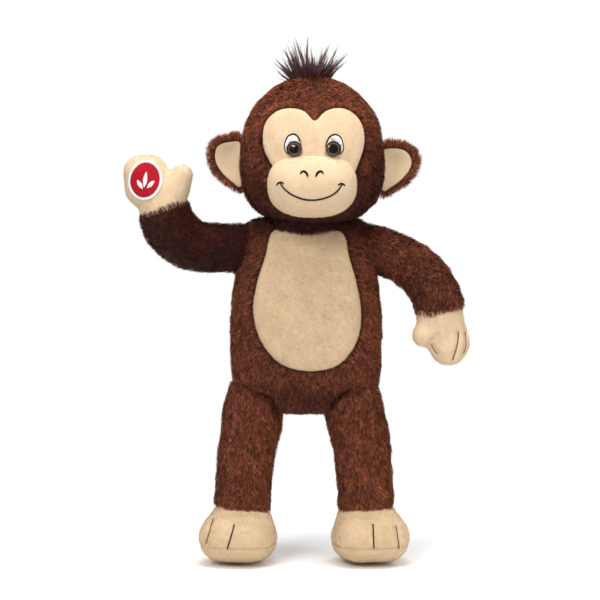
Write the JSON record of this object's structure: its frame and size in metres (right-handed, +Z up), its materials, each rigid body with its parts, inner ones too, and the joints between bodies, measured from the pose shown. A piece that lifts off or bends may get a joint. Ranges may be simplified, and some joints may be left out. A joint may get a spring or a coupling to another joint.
{
  "type": "stuffed monkey",
  "caption": "Standing plush monkey, one arm raised in a wave: brown furry body with jointed soft limbs, tan face, belly, hands and feet.",
  "frame": {"origin": "on the floor under the middle of the toy's bounding box", "axes": "+Z up from the feet to the hair tuft, -Y the way the face looks, +X the toy's left"},
  "size_m": [0.2977, 0.1385, 0.4476],
  "materials": {
    "brown_fur": "long-pile plush, dark reddish brown",
    "tan_pile": "short-pile plush, light tan",
    "fibre_fill": "white polyester fill",
    "tuft_fibre": "long straight fibre, dark purple brown",
    "brown_thread": "sewing thread",
    "dark_thread": "near-black embroidery thread",
    "white_thread": "white embroidery thread",
    "red_felt": "red satin stitch",
    "label_satin": "blank woven label",
    "eye_plastic": "glossy, brown iris and black pupil",
    "washer_plastic": "white nylon"
  },
  "bodies": {
    "torso": {"torso_skin": "brown_fur", "belly_panel": "tan_pile", "torso_stuffing": "fibre_fill", "closing_seam": "brown_thread", "care_label": "label_satin"},
    "neck": {"neck_root": "brown_fur"},
    "head": {"head_skin": "brown_fur", "face_patch": "tan_pile", "muzzle_skin": "tan_pile", "head_stuffing": "fibre_fill", "hair_tuft": "tuft_fibre", "eye_right": "eye_plastic", "eye_left": "eye_plastic", "eye_washer_right": "washer_plastic", "eye_washer_left": "washer_plastic", "eye_white_right": "white_thread", "eye_white_left": "white_thread", "nostril_threads": "dark_thread", "smile_thread": "dark_thread"},
    "ear_right": {"ear_back_right": "brown_fur", "ear_lining_right": "tan_pile"},
    "shoulder_right": {"shoulder_root_right": "brown_fur"},
    "upper_arm_right": {"upper_arm_skin_right": "brown_fur", "upper_arm_stuffing_right": "fibre_fill"},
    "forearm_right": {"forearm_skin_right": "brown_fur", "forearm_stuffing_right": "fibre_fill"},
    "hand_right": {"hand_skin_right": "tan_pile", "hand_stuffing_right": "fibre_fill", "finger_threads_right": "dark_thread", "paw_badge_border": "white_thread", "paw_badge_field": "red_felt"},
    "hip_right": {"hip_root_right": "brown_fur"},
    "leg_right": {"leg_skin_right": "brown_fur", "leg_stuffing_right": "fibre_fill"},
    "foot_right": {"foot_upper_right": "tan_pile", "foot_sole_right": "tan_pile", "foot_stuffing_right": "fibre_fill", "toe_threads_right": "dark_thread"},
    "ear_left": {"ear_back_left": "brown_fur", "ear_lining_left": "tan_pile"},
    "shoulder_left": {"shoulder_root_left": "brown_fur"},
    "upper_arm_left": {"upper_arm_skin_left": "brown_fur", "upper_arm_stuffing_left": "fibre_fill"},
    "forearm_left": {"forearm_skin_left": "brown_fur", "forearm_stuffing_left": "fibre_fill"},
    "hand_left": {"hand_skin_left": "tan_pile", "hand_stuffing_left": "fibre_fill", "finger_threads_left": "dark_thread"},
    "hip_left": {"hip_root_left": "brown_fur"},
    "leg_left": {"leg_skin_left": "brown_fur", "leg_stuffing_left": "fibre_fill"},
    "foot_left": {"foot_upper_left": "tan_pile", "foot_sole_left": "tan_pile", "foot_stuffing_left": "fibre_fill", "toe_threads_left": "dark_thread"}
  },
  "joints": [
    {"name": "neck_turn", "type": "hinge", "parent": "torso", "child": "neck", "pos_m": [0.0069, 0.0108, 0.282], "axis": [0, 0, 1], "range_deg": [-35, 35], "stiffness_Nm_per_rad": 1},
    {"name": "neck_nod", "type": "hinge", "parent": "neck", "child": "head", "pos_m": [0.0069, 0.0108, 0.282], "axis": [1, 0, 0], "range_deg": [-12, 12], "stiffness_Nm_per_rad": 1.2},
    {"name": "ear_flop_right", "type": "hinge", "parent": "head", "child": "ear_right", "pos_m": [-0.0555, 0.0208, 0.342], "axis": [0, 0, 1], "range_deg": [-15, 40], "stiffness_Nm_per_rad": 0.05},
    {"name": "ear_flop_left", "type": "hinge", "parent": "head", "child": "ear_left", "pos_m": [0.0813, 0.0208, 0.336], "axis": [0, 0, -1], "range_deg": [-15, 40], "stiffness_Nm_per_rad": 0.05},
    {"name": "shoulder_twist_right", "type": "hinge", "parent": "torso", "child": "shoulder_right", "pos_m": [-0.0566, 0.0108, 0.268], "axis": [1, 0, 0], "range_deg": [-40, 40], "stiffness_Nm_per_rad": 0.6},
    {"name": "shoulder_twist_left", "type": "hinge", "parent": "torso", "child": "shoulder_left", "pos_m": [0.0704, 0.0108, 0.268], "axis": [1, 0, 0], "range_deg": [-40, 40], "stiffness_Nm_per_rad": 0.6},
    {"name": "shoulder_raise_right", "type": "hinge", "parent": "shoulder_right", "child": "upper_arm_right", "pos_m": [-0.0566, 0.0108, 0.268], "axis": [0, -1, 0], "range_deg": [-8, 35], "stiffness_Nm_per_rad": 0.6},
    {"name": "shoulder_raise_left", "type": "hinge", "parent": "shoulder_left", "child": "upper_arm_left", "pos_m": [0.0704, 0.0108, 0.268], "axis": [0, 1, 0], "range_deg": [-45, 4], "stiffness_Nm_per_rad": 0.6},
    {"name": "elbow_bend_right", "type": "hinge", "parent": "upper_arm_right", "child": "forearm_right", "pos_m": [-0.1079, 0.0108, 0.272], "axis": [0, -1, 0], "range_deg": [-5, 45], "stiffness_Nm_per_rad": 0.4},
    {"name": "elbow_bend_left", "type": "hinge", "parent": "upper_arm_left", "child": "forearm_left", "pos_m": [0.1099, 0.0008, 0.2495], "axis": [0, -1, 0], "range_deg": [-10, 35], "stiffness_Nm_per_rad": 0.4},
    {"name": "wrist_bend_right", "type": "hinge", "parent": "forearm_right", "child": "hand_right", "pos_m": [-0.1155, 0.0008, 0.303], "axis": [0, -1, 0], "range_deg": [-20, 20], "stiffness_Nm_per_rad": 0.2},
    {"name": "wrist_bend_left", "type": "hinge", "parent": "forearm_left", "child": "hand_left", "pos_m": [0.1189, -0.0052, 0.214], "axis": [0, -1, 0], "range_deg": [-20, 20], "stiffness_Nm_per_rad": 0.2},
    {"name": "hip_twist_right", "type": "hinge", "parent": "torso", "child": "hip_right", "pos_m": [-0.0376, 0.0108, 0.13], "axis": [0, 0, -1], "range_deg": [-20, 20], "stiffness_Nm_per_rad": 2.5},
    {"name": "hip_twist_left", "type": "hinge", "parent": "torso", "child": "hip_left", "pos_m": [0.0464, 0.0108, 0.13], "axis": [0, 0, 1], "range_deg": [-20, 20], "stiffness_Nm_per_rad": 2.5},
    {"name": "hip_swing_right", "type": "hinge", "parent": "hip_right", "child": "leg_right", "pos_m": [-0.0376, 0.0108, 0.13], "axis": [-1, 0, 0], "range_deg": [-20, 85], "stiffness_Nm_per_rad": 2.5},
    {"name": "ankle_flex_right", "type": "hinge", "parent": "leg_right", "child": "foot_right", "pos_m": [-0.0501, 0.0108, 0.04], "axis": [-1, 0, 0], "range_deg": [-15, 15], "stiffness_Nm_per_rad": 2},
    {"name": "hip_swing_left", "type": "hinge", "parent": "hip_left", "child": "leg_left", "pos_m": [0.0464, 0.0108, 0.13], "axis": [-1, 0, 0], "range_deg": [-20, 85], "stiffness_Nm_per_rad": 2.5},
    {"name": "ankle_flex_left", "type": "hinge", "parent": "leg_left", "child": "foot_left", "pos_m": [0.0589, 0.0108, 0.04], "axis": [-1, 0, 0], "range_deg": [-15, 15], "stiffness_Nm_per_rad": 2}
  ]
}
